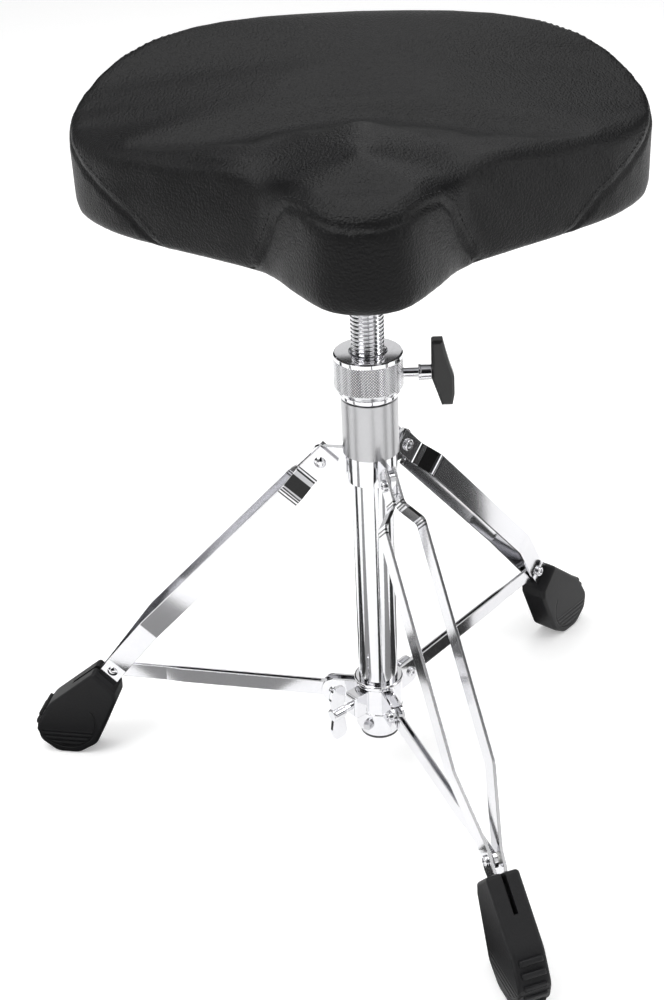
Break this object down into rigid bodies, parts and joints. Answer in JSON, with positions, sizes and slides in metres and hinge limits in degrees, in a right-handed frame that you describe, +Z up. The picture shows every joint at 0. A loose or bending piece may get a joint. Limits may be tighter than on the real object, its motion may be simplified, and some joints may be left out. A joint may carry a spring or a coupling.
{
  "type": "drum throne",
  "caption": "Drum throne with a padded saddle seat on a threaded spindle, knurled lock collar with a T-handled screw, and a folding tripod of twin flat bars with rubber feet.",
  "frame": {"origin": "on the floor under the axis of the upright tube", "axes": "+Z up along the tube; the nose of the seat points along -Y; +X to the right, along the lock screw"},
  "size_m": [0.5138, 0.5239, 0.596],
  "materials": {
    "chrome": "polished",
    "bar_chrome": "polished, with black bands near the hub on the leg bars",
    "satin_steel": "satin",
    "zinc_steel": "zinc plated",
    "black_rubber": "matt, ribbed and stippled",
    "black_plastic": "fine texture",
    "white_nylon": "plain",
    "leatherette": "fine pebble grain, half matt",
    "foam": "open foam",
    "plywood": "raw birch plywood",
    "dust_cloth": "non-woven cloth"
  },
  "bodies": {
    "base": {"main_tube": "chrome", "tube_end_cap": "black_plastic", "leg_hub": "chrome", "top_sleeve": "satin_steel", "guide_bush": "black_plastic", "thrust_ring": "chrome", "stop_ring": "chrome", "stop_ring_screw": "zinc_steel"},
    "slider": {"slide_collar": "chrome", "slide_collar_rivets": "chrome"},
    "leg_1": {"leg_1_bar_left": "bar_chrome", "leg_1_bar_right": "bar_chrome", "leg_1_pivot_rivet": "chrome", "leg_1_brace_studs": "chrome", "leg_1_spacers": "white_nylon", "leg_1_foot": "black_rubber"},
    "brace_1": {"brace_1": "bar_chrome", "brace_1_pin": "chrome"},
    "leg_2": {"leg_2_bar_left": "bar_chrome", "leg_2_bar_right": "bar_chrome", "leg_2_pivot_rivet": "chrome", "leg_2_brace_studs": "chrome", "leg_2_spacers": "white_nylon", "leg_2_foot": "black_rubber"},
    "brace_2": {"brace_2": "bar_chrome", "brace_2_pin": "chrome"},
    "leg_3": {"leg_3_bar_left": "bar_chrome", "leg_3_bar_right": "bar_chrome", "leg_3_pivot_rivet": "chrome", "leg_3_brace_studs": "chrome", "leg_3_spacers": "white_nylon", "leg_3_foot": "black_rubber"},
    "brace_3": {"brace_3": "bar_chrome", "brace_3_pin": "chrome"},
    "clamp_screw": {"clamp_screw": "chrome"},
    "clamp_wing": {"clamp_wing": "chrome"},
    "lock_collar": {"lock_collar": "chrome"},
    "lock_screw": {"lock_screw_stud": "chrome", "lock_screw_handle": "black_plastic"},
    "spindle": {"spindle": "chrome"},
    "seat": {"seat_cover": "leatherette", "seat_foam": "foam", "seat_board": "plywood", "seat_dust_cover": "dust_cloth", "seat_bracket": "zinc_steel", "seat_clamp_screw": "zinc_steel", "bracket_bolts": "zinc_steel", "bracket_tee_nuts": "zinc_steel"}
  },
  "joints": [
    {"name": "collar_slide", "type": "slide", "parent": "base", "child": "slider", "axis": [0, 0, 1], "range_m": [0, 0.12301]},
    {"name": "leg_1_fold", "type": "hinge", "parent": "base", "child": "leg_1", "pos_m": [0.02526, 0.03011, 0.29668], "axis": [-0.766, 0.6428, 0], "range_deg": [0, 40.05]},
    {"name": "brace_1_fold", "type": "hinge", "parent": "slider", "child": "brace_1", "pos_m": [0.02378, 0.02834, 0.0813], "axis": [-0.766, 0.6428, 0], "range_deg": [0, 88.04]},
    {"name": "leg_2_fold", "type": "hinge", "parent": "base", "child": "leg_2", "pos_m": [-0.0387, 0.00682, 0.29668], "axis": [-0.1736, -0.9848, 0], "range_deg": [0, 40.05]},
    {"name": "brace_2_fold", "type": "hinge", "parent": "slider", "child": "brace_2", "pos_m": [-0.03644, 0.00643, 0.0813], "axis": [-0.1736, -0.9848, 0], "range_deg": [0, 88.04]},
    {"name": "leg_3_fold", "type": "hinge", "parent": "base", "child": "leg_3", "pos_m": [0.01344, -0.03693, 0.29668], "axis": [0.9397, 0.342, 0], "range_deg": [0, 40.05]},
    {"name": "brace_3_fold", "type": "hinge", "parent": "slider", "child": "brace_3", "pos_m": [0.01265, -0.03477, 0.0813], "axis": [0.9397, 0.342, 0], "range_deg": [0, 88.04]},
    {"name": "clamp_feed", "type": "slide", "parent": "slider", "child": "clamp_screw", "axis": [-0.766, -0.6428, 0], "range_m": [0, 0.00201]},
    {"name": "clamp_turn", "type": "hinge", "parent": "clamp_screw", "child": "clamp_wing", "pos_m": [-0.03447, -0.02892, 0.0813], "axis": [-0.766, -0.6428, 0], "range_deg": [0, 720]},
    {"name": "swivel", "type": "hinge", "parent": "base", "child": "lock_collar", "pos_m": [0, 0, 0.35928], "axis": [0, 0, 1], "continuous": true},
    {"name": "lock_turn", "type": "hinge", "parent": "lock_collar", "child": "lock_screw", "pos_m": [0.05, 0, 0.37138], "axis": [1, 0, 0], "range_deg": [0, 630]},
    {"name": "height", "type": "slide", "parent": "lock_collar", "child": "spindle", "axis": [0, 0, 1], "range_m": [-0.0382, 0.1017]},
    {"name": "seat_turn", "type": "hinge", "parent": "spindle", "child": "seat", "pos_m": [0, 0, 0.455], "axis": [0, 0, 1], "range_deg": [-4320, 11520]}
  ],
  "couplings": [
    {"joint": "leg_1_fold", "follows": "collar_slide", "rad_per_m": 5.6754},
    {"joint": "brace_1_fold", "follows": "collar_slide", "rad_per_m": 12.478},
    {"joint": "leg_2_fold", "follows": "collar_slide", "rad_per_m": 5.6754},
    {"joint": "brace_2_fold", "follows": "collar_slide", "rad_per_m": 12.478},
    {"joint": "leg_3_fold", "follows": "collar_slide", "rad_per_m": 5.6754},
    {"joint": "brace_3_fold", "follows": "collar_slide", "rad_per_m": 12.478},
    {"joint": "clamp_feed", "follows": "clamp_turn", "m_per_rad": 0.00015915},
    {"joint": "height", "follows": "seat_turn", "m_per_rad": 0.00050532}
  ]
}
